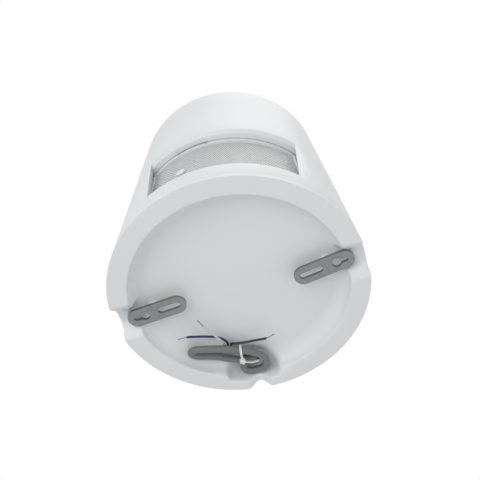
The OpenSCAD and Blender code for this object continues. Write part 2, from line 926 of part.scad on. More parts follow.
housing();
base();
base_seal();
grille();
grille_frame();
badge_blank();
baffle();
driver_gasket();
driver_basket();
driver_surround();
driver_cone();
dust_cap();
spider();
voice_coil();
top_plate();
magnet();
back_plate();
driver_screws();
transformer_core();
transformer_coil();
transformer_bracket();
transformer_screws();
strap_left();
strap_right();
strap_washers();
strap_nuts();
cable_grommet();
inner_cable();
cable();
cable_tie();
wire_blue();
wire_white();
wire_black();
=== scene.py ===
"""Garden speaker, seen from below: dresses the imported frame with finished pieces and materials."""

import math

import bmesh
import bpy
from mathutils import Matrix, Vector


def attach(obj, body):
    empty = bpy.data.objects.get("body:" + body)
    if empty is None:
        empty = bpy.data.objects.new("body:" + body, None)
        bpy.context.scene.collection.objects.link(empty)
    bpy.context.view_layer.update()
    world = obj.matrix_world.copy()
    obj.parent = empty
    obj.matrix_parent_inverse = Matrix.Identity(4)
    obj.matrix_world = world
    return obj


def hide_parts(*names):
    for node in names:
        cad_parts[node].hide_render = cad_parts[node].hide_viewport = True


bl_info = {
    "name": "Garden speaker",
    "version": (1, 0, 0),
    "blender": (4, 5, 0),
    "location": "3D View > Sidebar > Speaker",
    "description": "Builds the pieces, finishes, light and camera of a garden speaker",
    "category": "Object",
}

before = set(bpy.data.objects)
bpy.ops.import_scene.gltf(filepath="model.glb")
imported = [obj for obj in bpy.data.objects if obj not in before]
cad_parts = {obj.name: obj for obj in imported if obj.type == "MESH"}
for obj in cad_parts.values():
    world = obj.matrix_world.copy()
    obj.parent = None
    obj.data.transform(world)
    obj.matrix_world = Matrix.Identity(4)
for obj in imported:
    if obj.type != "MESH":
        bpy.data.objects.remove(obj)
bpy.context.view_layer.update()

MM = 0.001
BASE_R = 0.110
TOP_R = 0.091
HEIGHT = 0.222

# Clean-up of CAD meshes: doubles closer than this merge, triangles flatter than this pair, and edges
# sharper than this are rounded
WELD = 0.00001
FLAT = math.radians(0.6)
EDGE_ANGLE = math.radians(40)
BADGE_EDGE = 0.5 * MM

# Softened base: its well, how far the softening reaches, and the outer face that meets the housing
WELL_Y = 88 * MM
WELL_SOFT_R = 38 * MM
RIM_SOFT_R = 105 * MM
SOFT_TOP = 25 * MM
SOFT_ROUNDS = 120
FACE_TOP = 5 * MM
FACE_REACH = 1.3 * MM
LIP_START = 3 * MM
LIP_TOP = 4.5 * MM
FACE_GAP = 0.03 * MM

# Perforated sheet: its lower and upper edge, its depth below the housing's face, and the height at which
# its rows have their true pitch
SHEET_LOW = 23 * MM
SHEET_HIGH = 105 * MM
SHEET_DEPTH = 10.05 * MM
SHEET_MIDDLE = 60 * MM
CELL_SIDES = 6
HOLE_SIDES = 12

# Cable and wires: step along a line, sides of a tube, and how much the cut end draws in
CABLE_STEP = 1.2 * MM
CABLE_SIDES = 28
CABLE_END = 0.94
WIRE_STEP = 0.8 * MM
WIRE_SIDES = 16
WIRE_END = 0.93
OUTER_STRANDS = 6
STRAND_SIDES = 6
STRAND_TURN = 9
SPLAY = 0.25
SPLAY_POINTS = 4

# Cable tie: the plane it lies in, the centres of the two strands of cable that it holds, its band, its
# head and its tail
TIE_X = -8 * MM
TIE_R = 3.25 * MM + 0.5 * MM + 0.5 * MM
TIE_ENDS = ((66.6 * MM, 5.3 * MM), (82.6 * MM, 10.7 * MM))
TIE_TURN_STEPS = 12
TIE_STEP = 1 * MM
TIE_WIDTH = 2.0 * MM
TIE_THICK = 0.9 * MM
HEAD_Y = 78.8 * MM
HEAD_Z = 4.3 * MM
HEAD_TURN = math.radians(19)
HEAD_SIZE = (5 * MM, 4.6 * MM, 3.4 * MM)
HEAD_EDGE = 0.6 * MM
TAIL_CENTRE = Vector((TIE_X + 8.6 * MM, 69.8 * MM, 4.2 * MM))
TAIL_R = 11.5 * MM
TAIL_FROM = 134
TAIL_SWEEP = 73
TAIL_STEPS = 14

# Stage: the floor, and each lamp's direction, distance and size
FLOOR_R = 2.5
FLOOR_SIDES = 96
FLOOR_DROP = 0.5 * MM
LAMPS = {
    "key": ((-0.35, -0.75, -0.55), 1.2, 0.7),
    "fill": ((0.8, 0.1, -0.5), 1.4, 1.0),
    "top": ((0.3, -0.4, 1.0), 1.3, 0.9),
}

# Camera fitted to the photo's outlines: its axes, its place in metres, and its focal length in pixels
CAMERA_RIGHT = Vector((0.9894, 0.1385, -0.0425))
CAMERA_UP = Vector((0.1395, -0.8305, 0.5393))
CAMERA_BACK = Vector((0.0394, -0.5395, -0.8411))
CAMERA_PLACE = (0.0306, -0.3670, -0.4911)
FOCAL_PIXELS = 735.456
PHOTO_PIXELS = 480
SENSOR = 36.0


def shade(text):
    """Linear colour of an sRGB hex value."""
    parts = [int(text[i : i + 2], 16) / 255 for i in (1, 3, 5)]
    return [p / 12.92 if p <= 0.04045 else ((p + 0.055) / 1.055) ** 2.4 for p in parts]


def outer_r(z):
    """Radius of the housing's outer face at a height."""
    return BASE_R + (TOP_R - BASE_R) * z / HEIGHT


# The routes of the cable and the wires, in metres. They repeat the part's source, apart from the cable's
# last three points, the blue wire's first nine and the first eight of the other two, which were moved so
# that the loop hides the cable's end.
CABLE_ROUTE = [
    (-0.002, 0.088, 0.0244), (-0.002, 0.088, 0.0205), (-0.0023, 0.0882, 0.0183), (-0.0036, 0.089, 0.016),
    (-0.006, 0.0905, 0.0138), (-0.0085, 0.0928, 0.0117), (-0.0065, 0.095, 0.0106), (-0.001, 0.0962, 0.01),
    (0.005, 0.095, 0.0095), (0.01, 0.092, 0.0087), (0.0125, 0.087, 0.0078), (0.0122, 0.081, 0.0068),
    (0.0092, 0.076, 0.006), (0.004, 0.072, 0.0056), (-0.003, 0.0685, 0.0054), (-0.011, 0.0655, 0.0052),
    (-0.02, 0.063, 0.0052), (-0.03, 0.0612, 0.0052), (-0.038, 0.0603, 0.0054), (-0.045, 0.06, 0.006),
    (-0.05, 0.0615, 0.0072), (-0.0525, 0.065, 0.0086), (-0.0505, 0.069, 0.0096), (-0.045, 0.0715, 0.0102),
    (-0.038, 0.073, 0.0106), (-0.03, 0.0755, 0.011), (-0.022, 0.0788, 0.0111), (-0.0165, 0.0808, 0.011),
    (-0.0105, 0.0822, 0.0108), (-0.0045, 0.0828, 0.0107), (0.0, 0.0828, 0.0107), (0.0048, 0.0822, 0.0109),
]
BLUE_ROUTE = [
    (0.0054, 0.0811, 0.0107), (0.0066, 0.0803, 0.0109), (0.0068, 0.0785, 0.0118), (0.0052, 0.0763, 0.0124),
    (0.0, 0.0744, 0.0124), (-0.006, 0.0733, 0.0124), (-0.01, 0.0724, 0.0124), (-0.0145, 0.0712, 0.0122),
    (-0.018, 0.0688, 0.0124),
    (-0.019, 0.0645, 0.0119), (-0.019, 0.0604, 0.0104), (-0.02, 0.056, 0.0082), (-0.0225, 0.052, 0.0068),
    (-0.027, 0.0484, 0.0056), (-0.034, 0.0454, 0.0044), (-0.043, 0.0432, 0.0036), (-0.052, 0.0418, 0.0029),
    (-0.06, 0.0426, 0.0024),
]
WHITE_ROUTE = [
    (0.0054, 0.0822, 0.0122), (0.0074, 0.0815, 0.0126), (0.0086, 0.079, 0.0128), (0.0076, 0.0758, 0.0116),
    (0.0036, 0.0739, 0.0104), (-0.0015, 0.0729, 0.01), (-0.007, 0.0722, 0.0096), (-0.013, 0.0704, 0.0092),
    (-0.017, 0.069, 0.0088),
    (-0.0212, 0.0658, 0.0095), (-0.022, 0.0615, 0.0094), (-0.022, 0.0575, 0.0074), (-0.023, 0.0536, 0.0052),
    (-0.026, 0.048, 0.0037), (-0.03, 0.0414, 0.0034), (-0.035, 0.034, 0.0032), (-0.04, 0.025, 0.003),
]
BLACK_ROUTE = [
    (0.0054, 0.0832, 0.0107), (0.0078, 0.0833, 0.0118), (0.0102, 0.0805, 0.0124), (0.0094, 0.0768, 0.0106),
    (0.0066, 0.075, 0.0098), (0.002, 0.0738, 0.009), (-0.0035, 0.0724, 0.0086), (-0.008, 0.071, 0.0084),
    (-0.013, 0.0696, 0.008),
    (-0.0156, 0.0666, 0.0098), (-0.0159, 0.0624, 0.0093), (-0.015, 0.0596, 0.0076), (-0.01, 0.0584, 0.0056),
    (-0.003, 0.0574, 0.0044), (0.006, 0.0562, 0.0038), (0.016, 0.055, 0.0032), (0.023, 0.0516, 0.003),
]


# Settings


class SpeakerPlastic(bpy.types.PropertyGroup):
    white: bpy.props.FloatVectorProperty(
        name="White", description="Colour of the moulded plastic", subtype="COLOR", default=shade("#E6E7E8")
    )
    grain: bpy.props.FloatProperty(
        name="Grain", description="Size of the fine texture of the mould", default=0.6 * MM, unit="LENGTH"
    )
    edge: bpy.props.FloatProperty(
        name="Edge", description="Rounding of the moulded edges", default=0.5 * MM, unit="LENGTH"
    )
    voxel: bpy.props.FloatProperty(
        name="Base voxel", description="Size of the cells that soften the base", default=1.1 * MM,
        unit="LENGTH",
    )


class SpeakerGrille(bpy.types.PropertyGroup):
    paint: bpy.props.FloatVectorProperty(
        name="Paint", description="Colour of the grille's powder coat", subtype="COLOR",
        default=shade("#D6D7D8"),
    )
    pitch: bpy.props.FloatProperty(
        name="Pitch", description="Distance between the holes", default=2.6 * MM, unit="LENGTH"
    )
    hole: bpy.props.FloatProperty(
        name="Hole", description="Diameter of a hole", default=1.6 * MM, unit="LENGTH"
    )
    thick: bpy.props.FloatProperty(
        name="Thickness", description="Thickness of the sheet", default=0.9 * MM, unit="LENGTH"
    )
    sweep: bpy.props.FloatProperty(
        name="Sweep", description="Angle that the sheet covers", default=math.radians(92), subtype="ANGLE"
    )


class SpeakerStraps(bpy.types.PropertyGroup):
    steel: bpy.props.FloatVectorProperty(
        name="Steel", description="Colour of the plated straps", subtype="COLOR", default=shade("#8A8C8E")
    )
    edge: bpy.props.FloatProperty(
        name="Edge", description="Rounding of the punched edges", default=0.35 * MM, unit="LENGTH"
    )


class SpeakerCable(bpy.types.PropertyGroup):
    jacket: bpy.props.FloatVectorProperty(
        name="Jacket", description="Colour of the cable's jacket", subtype="COLOR", default=shade("#737475")
    )
    diameter: bpy.props.FloatProperty(
        name="Diameter", description="Diameter of the jacket", default=6.5 * MM, unit="LENGTH"
    )
    nylon: bpy.props.FloatVectorProperty(
        name="Tie", description="Colour of the cable tie", subtype="COLOR", default=shade("#ECECEA")
    )


class SpeakerWires(bpy.types.PropertyGroup):
    diameter: bpy.props.FloatProperty(
        name="Diameter", description="Diameter of the insulation", default=2.1 * MM, unit="LENGTH"
    )
    bare: bpy.props.FloatProperty(
        name="Bared length", description="Length of bare strands at each tip", default=8 * MM, unit="LENGTH"
    )
    strand: bpy.props.FloatProperty(
        name="Strand", description="Diameter of one strand", default=0.3 * MM, unit="LENGTH"
    )


class SpeakerStage(bpy.types.PropertyGroup):
    surround: bpy.props.FloatProperty(
        name="Surround", description="Strength of the even light from all round", default=0.62
    )
    key: bpy.props.FloatProperty(name="Key", description="Power of the key lamp", default=4.0, unit="POWER")
    fill: bpy.props.FloatProperty(
        name="Fill", description="Power of the fill lamp", default=1.2, unit="POWER"
    )
    top: bpy.props.FloatProperty(name="Top", description="Power of the upper lamp", default=4.0, unit="POWER")
    floor: bpy.props.FloatVectorProperty(
        name="Floor", description="Colour of the floor", subtype="COLOR", default=shade("#F2F2F2")
    )


# Materials


def add(tree, kind, inputs=None, **settings):
    """Adds a node, sets its properties, and gives each input a value or a link."""
    node = tree.nodes.new(kind)
    for name, value in settings.items():
        setattr(node, name, value)
    for name, value in (inputs or {}).items():
        socket = node.inputs[name]
        if isinstance(value, bpy.types.NodeSocket):
            tree.links.new(value, socket)
        else:
            socket.default_value = value
    return node


def new_material(name):
    """An empty material and its tree."""
    material = bpy.data.materials.new(name)
    material.use_nodes = True
    material.node_tree.nodes.clear()
    return material, material.node_tree


def finish_material(tree, shader):
    """Gives the tree its output."""
    add(tree, "ShaderNodeOutputMaterial", {"Surface": shader.outputs[0]})


def grain_bump(tree, place, size, strength, distance):
    """Fine bump of that grain size, on Object coordinates."""
    noise = add(tree, "ShaderNodeTexNoise", {"Vector": place, "Scale": 1 / size, "Detail": 2.0})
    height = noise.outputs[0]
    return add(tree, "ShaderNodeBump", {"Height": height, "Strength": strength, "Distance": distance})


def two_tones(tree, factor, dark, light):
    """Colour that runs from dark to light with a factor."""
    ramp = add(tree, "ShaderNodeValToRGB", {"Fac": factor})
    ramp.color_ramp.elements[0].position = 0.3
    ramp.color_ramp.elements[0].color = (*dark, 1)
    ramp.color_ramp.elements[1].position = 0.7
    ramp.color_ramp.elements[1].color = (*light, 1)
    return ramp.outputs[0]


def spread(tree, factor, low, high):
    """A number that runs from low to high with a factor."""
    return add(tree, "ShaderNodeMapRange", {"Value": factor, "To Min": low, "To Max": high}).outputs[0]


def scaled(colour, by):
    """A colour made darker or lighter, up to white."""
    return [min(1.0, c * by) for c in colour]


def mottled(name, colour, roughness, patch, grain, bump, metallic=0.0, ior=1.5, vary=0.06):
    """A finish with soft patches of tone and gloss, and a fine grain."""
    material, tree = new_material(name)
    place = add(tree, "ShaderNodeTexCoord").outputs["Object"]
    patches = add(tree, "ShaderNodeTexNoise", {"Vector": place, "Scale": 1 / patch, "Detail": 4.0}).outputs[0]
    shader = add(
        tree,
        "ShaderNodeBsdfPrincipled",
        {
            "Base Color": two_tones(tree, patches, scaled(colour, 1 - vary), scaled(colour, 1 + vary / 3)),
            "Roughness": spread(tree, patches, roughness - 0.06, roughness + 0.06),
            "Metallic": metallic,
            "IOR": ior,
            "Normal": grain_bump(tree, place, grain, 0.5, bump).outputs[0],
        },
    )
    finish_material(tree, shader)
    return material


def moulded_abs(name, colour, grain):
    """ABS moulded in a spark-eroded mould: satin white with a fine even grain and faint flow marks."""
    material, tree = new_material(name)
    place = add(tree, "ShaderNodeTexCoord").outputs["Object"]
    flow = add(tree, "ShaderNodeTexNoise", {"Vector": place, "Scale": 1 / 0.07, "Detail": 2.0}).outputs[0]
    fine = add(tree, "ShaderNodeTexNoise", {"Vector": place, "Scale": 1 / grain, "Detail": 2.0}).outputs[0]
    waves = add(tree, "ShaderNodeBump", {"Height": flow, "Strength": 0.25, "Distance": 0.6 * MM})
    bump = add(
        tree,
        "ShaderNodeBump",
        {"Height": fine, "Strength": 0.35, "Distance": 0.05 * MM, "Normal": waves.outputs[0]},
    )
    shader = add(
        tree,
        "ShaderNodeBsdfPrincipled",
        {
            "Base Color": two_tones(tree, flow, scaled(colour, 0.985), scaled(colour, 1.01)),
            "Roughness": spread(tree, fine, 0.42, 0.56),
            "IOR": 1.53,
            "Normal": bump.outputs[0],
        },
    )
    finish_material(tree, shader)
    return material


def along_surface(name, colour, roughness, ior, streak):
    """Extruded plastic: faint streaks along the piece, on its own UV map."""
    material, tree = new_material(name)
    uv = add(tree, "ShaderNodeUVMap", uv_map="along").outputs[0]
    stretched = add(tree, "ShaderNodeMapping", {"Vector": uv, "Scale": (14.0, 60.0, 1.0)})
    streaks = add(
        tree, "ShaderNodeTexNoise", {"Vector": stretched.outputs[0], "Scale": 1.0, "Detail": 3.0}
    ).outputs[0]
    bump = add(
        tree, "ShaderNodeBump", {"Height": streaks, "Strength": 0.3, "Distance": 0.08 * MM}
    )
    shader = add(
        tree,
        "ShaderNodeBsdfPrincipled",
        {
            "Base Color": two_tones(tree, streaks, scaled(colour, 1 - streak), scaled(colour, 1 + streak)),
            "Roughness": spread(tree, streaks, roughness - 0.05, roughness + 0.07),
            "IOR": ior,
            "Normal": bump.outputs[0],
        },
    )
    finish_material(tree, shader)
    return material


def woven(name, colour, roughness, thread):
    """Cloth: two crossed waves give its threads."""
    material, tree = new_material(name)
    place = add(tree, "ShaderNodeTexCoord").outputs["Object"]
    warp = add(
        tree, "ShaderNodeTexWave", {"Vector": place, "Scale": 0.31 / thread}, bands_direction="X"
    ).outputs["Fac"]
    weft = add(
        tree, "ShaderNodeTexWave", {"Vector": place, "Scale": 0.31 / thread}, bands_direction="Z"
    ).outputs["Fac"]
    cloth = add(tree, "ShaderNodeMath", {0: warp, 1: weft}, operation="MULTIPLY").outputs[0]
    bump = add(tree, "ShaderNodeBump", {"Height": cloth, "Strength": 0.6, "Distance": thread / 3})
    shader = add(
        tree,
        "ShaderNodeBsdfPrincipled",
        {
            "Base Color": two_tones(tree, cloth, scaled(colour, 0.7), scaled(colour, 1.1)),
            "Roughness": roughness,
            "Sheen Weight": 0.2,
            "Normal": bump.outputs[0],
        },
    )
    finish_material(tree, shader)
    return material


def layered(name, colour, roughness, step, metallic=0.0):
    """Stacked sheets or turns of tape, with a dark line between them."""
    material, tree = new_material(name)
    place = add(tree, "ShaderNodeTexCoord").outputs["Object"]
    lines = add(
        tree,
        "ShaderNodeTexWave",
        {"Vector": place, "Scale": 0.31 / step, "Distortion": 0.4},
        bands_direction="Y",
    ).outputs["Fac"]
    bump = add(tree, "ShaderNodeBump", {"Height": lines, "Strength": 0.5, "Distance": step / 5})
    shader = add(
        tree,
        "ShaderNodeBsdfPrincipled",
        {
            "Base Color": two_tones(tree, lines, scaled(colour, 0.55), colour),
            "Roughness": roughness,
            "Metallic": metallic,
            "Normal": bump.outputs[0],
        },
    )
    finish_material(tree, shader)
    return material


# Meshes


def link(name, mesh):
    """A new piece that rides on the root body."""
    piece = bpy.data.objects.new(name, mesh)
    bpy.context.scene.collection.objects.link(piece)
    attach(piece, "root")
    return piece


def clean_copy(node, name):
    """A copy of a CAD node's mesh with its doubles merged and its flat triangles paired."""
    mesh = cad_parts[node].data.copy()
    mesh.name = name
    build = bmesh.new()
    build.from_mesh(mesh)
    bmesh.ops.remove_doubles(build, verts=build.verts, dist=WELD)
    bmesh.ops.join_triangles(
        build, faces=build.faces, angle_face_threshold=FLAT, angle_shape_threshold=math.pi
    )
    build.to_mesh(mesh)
    build.free()
    mesh.materials.clear()
    return mesh


def bake(piece):
    """Makes the piece's modifiers real in its mesh."""
    graph = bpy.context.evaluated_depsgraph_get()
    mesh = bpy.data.meshes.new_from_object(piece.evaluated_get(graph))
    piece.modifiers.clear()
    old = piece.data
    piece.data = mesh
    bpy.data.meshes.remove(old)


def sharpen(mesh, angle):
    """Smooth shading, with sharp edges above an angle in degrees."""
    mesh.shade_smooth()
    mesh.set_sharp_from_angle(angle=math.radians(angle))


def finished_copy(node, name, edge, material):
    """A CAD node's form with its edges rounded, which replaces the node."""
    piece = link(name, clean_copy(node, name))
    bevel = piece.modifiers.new("Edge", "BEVEL")
    bevel.width = edge
    bevel.segments = 2
    bevel.limit_method = "ANGLE"
    bevel.angle_limit = EDGE_ANGLE
    bevel.use_clamp_overlap = True
    bake(piece)
    sharpen(piece.data, 50)
    piece.data.materials.clear()
    piece.data.materials.append(material)
    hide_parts(node)


def smooth_route(points, step):
    """Points a step apart on a smooth line through the route."""
    p = [Vector(q) for q in points]
    p = [2 * p[0] - p[1]] + p + [2 * p[-1] - p[-2]]
    line = []
    for a, b, c, d in zip(p, p[1:], p[2:], p[3:]):
        count = max(2, int((c - b).length / step * 4))
        for i in range(count):
            t = i / count
            bend = (2 * a - 5 * b + 4 * c - d) * t * t + (3 * b - a - 3 * c + d) * t**3
            line.append(0.5 * ((2 * b) + (c - a) * t + bend))
    line.append(p[-2])
    even = [line[0]]
    left = step
    for a, b in zip(line, line[1:]):
        while (b - a).length >= left:
            a = a + (b - a).normalized() * left
            even.append(a.copy())
            left = step
        left -= (b - a).length
    if (even[-1] - line[-1]).length < step * 0.4:
        even[-1] = line[-1]
    else:
        even.append(line[-1])
    return even


def route_length(line):
    """Length along a line of points."""
    return sum((b - a).length for a, b in zip(line, line[1:]))


def ways_and_sides(line):
    """Direction and an untwisted side vector at each point of a line."""
    ways = [(line[min(i + 1, len(line) - 1)] - line[max(i - 1, 0)]).normalized() for i in range(len(line))]
    side = Vector((1, 0.3, 0.1))
    sides = []
    for way in ways:
        side = (side - way * side.dot(way)).normalized()
        sides.append(side)
    return ways, sides


def tube(build, uv, line, radii, count, slot):
    """Adds a closed tube along a line to a mesh, with its length and girth in its UV map."""
    ways, sides = ways_and_sides(line)
    rings = []
    run = 0.0
    runs = [0.0]
    for a, b in zip(line, line[1:]):
        run += (b - a).length
        runs.append(run)
    for point, way, side, radius in zip(line, ways, sides, radii):
        other = way.cross(side)
        ring = []
        for k in range(count):
            angle = math.tau * k / count
            ring.append(build.verts.new(point + radius * (side * math.cos(angle) + other * math.sin(angle))))
        rings.append(ring)
    for i, (low, high) in enumerate(zip(rings, rings[1:])):
        for k in range(count):
            face = build.faces.new((low[k], low[(k + 1) % count], high[(k + 1) % count], high[k]))
            face.smooth = True
            face.material_index = slot
            for loop, (u, v) in zip(face.loops, ((k, i), (k + 1, i), (k + 1, i + 1), (k, i + 1))):
                loop[uv].uv = (u / count, runs[v])
    for ring in (rings[0][::-1], rings[-1]):
        face = build.faces.new(ring)
        face.material_index = slot
        for loop in face.loops:
            loop[uv].uv = (0.5, 0)


def tube_mesh(name, parts):
    """A mesh of several tubes: (line, radii, sides, material slot) each."""
    build = bmesh.new()
    uv = build.loops.layers.uv.new("along")
    for line, radii, count, slot in parts:
        tube(build, uv, line, radii, count, slot)
    mesh = bpy.data.meshes.new(name)
    build.to_mesh(mesh)
    build.free()
    return mesh


# Pieces


class SPEAKER_OT_housing(bpy.types.Operator):
    """Make the housing, its base, the grille's frame and the blank plate"""

    bl_idname = "speaker.housing"
    bl_label = "Housing and base"

    def execute(self, context):
        plastic = context.scene.speaker_plastic
        white = moulded_abs("ABS, moulded, satin white", plastic.white, plastic.grain)
        finished_copy("housing", "housing_shell", plastic.edge, white)
        window_frame = link("window_frame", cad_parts["grille_frame"].data.copy())
        window_frame.data.materials.clear()
        window_frame.data.materials.append(white)
        sharpen(window_frame.data, 30)
        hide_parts("grille_frame")
        finished_copy("badge_blank", "badge_plate", BADGE_EDGE, white)
        base = link("base_dish", clean_copy("base", "base_dish"))
        remesh = base.modifiers.new("Soften", "REMESH")
        remesh.mode = "VOXEL"
        remesh.voxel_size = plastic.voxel
        remesh.use_smooth_shade = True
        smooth = base.modifiers.new("Smooth", "SMOOTH")
        smooth.factor = 0.5
        smooth.iterations = 4
        bake(base)
        soften_well(base)
        fit_outer_face(base.data)
        sharpen(base.data, 60)
        base.data.materials.clear()
        base.data.materials.append(white)
        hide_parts("base")
        rubber = mottled("EPDM rubber, moulded black", shade("#1C1C1D"), 0.62, 4 * MM, 0.5 * MM, 0.04 * MM)
        for node in ("base_seal", "cable_grommet"):
            give(node, rubber)
        return {"FINISHED"}


def soften_well(base):
    """Rolls the edges of the well and of the troughs' inner ends, as the mould does."""
    group = base.vertex_groups.new(name="soft")
    for vertex in base.data.vertices:
        x, y, z = vertex.co
        well = math.hypot(x, y - WELL_Y) / WELL_SOFT_R
        rim = math.hypot(x, y) / RIM_SOFT_R
        weight = min(1.0, max(0.0, min((1.0 - well) * 3, (1.0 - rim) * 8)))
        if weight > 0 and z < SOFT_TOP:
            group.add([vertex.index], weight, "REPLACE")
    smooth = base.modifiers.new("Well", "SMOOTH")
    smooth.factor = 0.5
    smooth.iterations = SOFT_ROUNDS
    smooth.vertex_group = "soft"
    bake(base)


def fit_outer_face(mesh):
    """Sets the flange's outer face back on the housing's cone, up over the housing's lower edge."""
    for vertex in mesh.vertices:
        x, y, z = vertex.co
        r = math.hypot(x, y)
        if z > FACE_TOP or r < outer_r(z) - FACE_REACH:
            continue
        if z > LIP_START:
            z = LIP_TOP
        fit = (outer_r(z) + FACE_GAP) / r
        vertex.co = (x * fit, y * fit, z)


def give(node, material):
    """Gives a carried-over CAD node its material."""
    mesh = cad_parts[node].data
    mesh.materials.clear()
    mesh.materials.append(material)


def hole_cell(pitch, hole, thick):
    """One six-sided cell of the perforated sheet, with its round hole and without outer walls."""
    build = bmesh.new()
    outer = []
    inner = []
    corner = pitch / 3**0.5
    for z in (0.0, -thick):
        outer.append([
            build.verts.new((corner * math.sin(angle), corner * math.cos(angle), z))
            for angle in (math.tau * i / CELL_SIDES for i in range(CELL_SIDES))
        ])
        inner.append([
            build.verts.new((hole / 2 * math.sin(angle), hole / 2 * math.cos(angle), z))
            for angle in (math.tau * i / HOLE_SIDES for i in range(HOLE_SIDES))
        ])
    for level, flip in ((0, False), (1, True)):
        for i in range(CELL_SIDES):
            a, b = outer[level][i], outer[level][(i + 1) % CELL_SIDES]
            c, d, e = inner[level][2 * i], inner[level][2 * i + 1], inner[level][(2 * i + 2) % HOLE_SIDES]
            for face in ((a, c, d), (a, d, b), (b, d, e)):
                build.faces.new(face[::-1] if flip else face)
    for i in range(HOLE_SIDES):
        j = (i + 1) % HOLE_SIDES
        build.faces.new((inner[0][i], inner[1][i], inner[1][j], inner[0][j]))
    bmesh.ops.recalc_face_normals(build, faces=build.faces)
    mesh = bpy.data.meshes.new("hole_cell")
    build.to_mesh(mesh)
    build.free()
    return mesh


def perforated_tree():
    """Geometry Nodes tree: cells in staggered rows, rolled onto the housing's taper."""
    tree = bpy.data.node_groups.new("Perforated sheet", "GeometryNodeTree")
    for name, kind in (
        ("Geometry", "NodeSocketGeometry"), ("Cell", "NodeSocketObject"), ("Material", "NodeSocketMaterial"),
        ("Pitch", "NodeSocketFloat"), ("Sweep", "NodeSocketFloat"), ("Low", "NodeSocketFloat"),
        ("High", "NodeSocketFloat"), ("Depth", "NodeSocketFloat"),
    ):
        tree.interface.new_socket(name, in_out="INPUT", socket_type=kind)
    tree.interface.new_socket("Geometry", in_out="OUTPUT", socket_type="NodeSocketGeometry")
    given = add(tree, "NodeGroupInput").outputs

    def calc(operation, a, b=0.0):
        """One step of arithmetic on two numbers or sockets."""
        return add(tree, "ShaderNodeMath", {0: a, 1: b}, operation=operation).outputs[0]

    radius = outer_r(SHEET_MIDDLE)
    row_step = calc("MULTIPLY", given["Pitch"], 3**0.5 / 2)
    tall = calc("SUBTRACT", given["High"], given["Low"])
    wide = calc("MULTIPLY", given["Sweep"], radius)
    rows = calc("FLOOR", calc("DIVIDE", tall, row_step))
    columns = calc("FLOOR", calc("DIVIDE", wide, given["Pitch"]))
    grid = add(
        tree,
        "GeometryNodeMeshGrid",
        {
            "Size X": calc("MULTIPLY", calc("SUBTRACT", columns, 1.0), given["Pitch"]),
            "Size Y": calc("MULTIPLY", calc("SUBTRACT", rows, 1.0), row_step),
            "Vertices X": columns,
            "Vertices Y": rows,
        },
    )
    place = add(tree, "GeometryNodeInputPosition").outputs[0]
    parts = add(tree, "ShaderNodeSeparateXYZ", {0: place}).outputs
    row = calc("ROUND", calc("DIVIDE", calc("ADD", parts[1], 1.0), row_step))
    stagger = calc("MULTIPLY", calc("SUBTRACT", calc("MODULO", row, 2.0), 0.5), given["Pitch"])
    shift = add(tree, "ShaderNodeCombineXYZ", {"X": calc("MULTIPLY", stagger, 0.5)})
    staggered = add(
        tree, "GeometryNodeSetPosition", {"Geometry": grid.outputs["Mesh"], "Offset": shift.outputs[0]}
    )
    cell = add(tree, "GeometryNodeObjectInfo", {"Object": given["Cell"]}, transform_space="ORIGINAL")
    laid = add(
        tree,
        "GeometryNodeInstanceOnPoints",
        {"Points": staggered.outputs[0], "Instance": cell.outputs["Geometry"]},
    )
    real = add(tree, "GeometryNodeRealizeInstances", {"Geometry": laid.outputs[0]})
    flat = add(tree, "ShaderNodeSeparateXYZ", {0: add(tree, "GeometryNodeInputPosition").outputs[0]}).outputs
    height = calc("ADD", flat[1], calc("MULTIPLY", calc("ADD", given["High"], given["Low"]), 0.5))
    angle = calc("DIVIDE", flat[0], radius)
    face = calc("ADD", calc("MULTIPLY", height, (TOP_R - BASE_R) / HEIGHT), BASE_R)
    reach = calc("ADD", calc("SUBTRACT", face, given["Depth"]), flat[2])
    rolled = add(
        tree,
        "ShaderNodeCombineXYZ",
        {
            "X": calc("MULTIPLY", reach, calc("SINE", angle)),
            "Y": calc("MULTIPLY", calc("MULTIPLY", reach, calc("COSINE", angle)), -1.0),
            "Z": height,
        },
    )
    bent = add(tree, "GeometryNodeSetPosition", {"Geometry": real.outputs[0], "Position": rolled.outputs[0]})
    joined = add(tree, "GeometryNodeMergeByDistance", {"Geometry": bent.outputs[0], "Distance": 0.02 * MM})
    again = add(tree, "GeometryNodeRealizeInstances", {"Geometry": joined.outputs[0]})
    coated = add(
        tree, "GeometryNodeSetMaterial", {"Geometry": again.outputs[0], "Material": given["Material"]}
    )
    add(tree, "NodeGroupOutput", {0: coated.outputs[0]})
    return tree


def close_edge(mesh):
    """Joins the front and back edges of the sheet all round."""
    build = bmesh.new()
    build.from_mesh(mesh)
    bmesh.ops.bridge_loops(build, edges=[e for e in build.edges if e.is_boundary])
    bmesh.ops.recalc_face_normals(build, faces=build.faces)
    build.to_mesh(mesh)
    build.free()


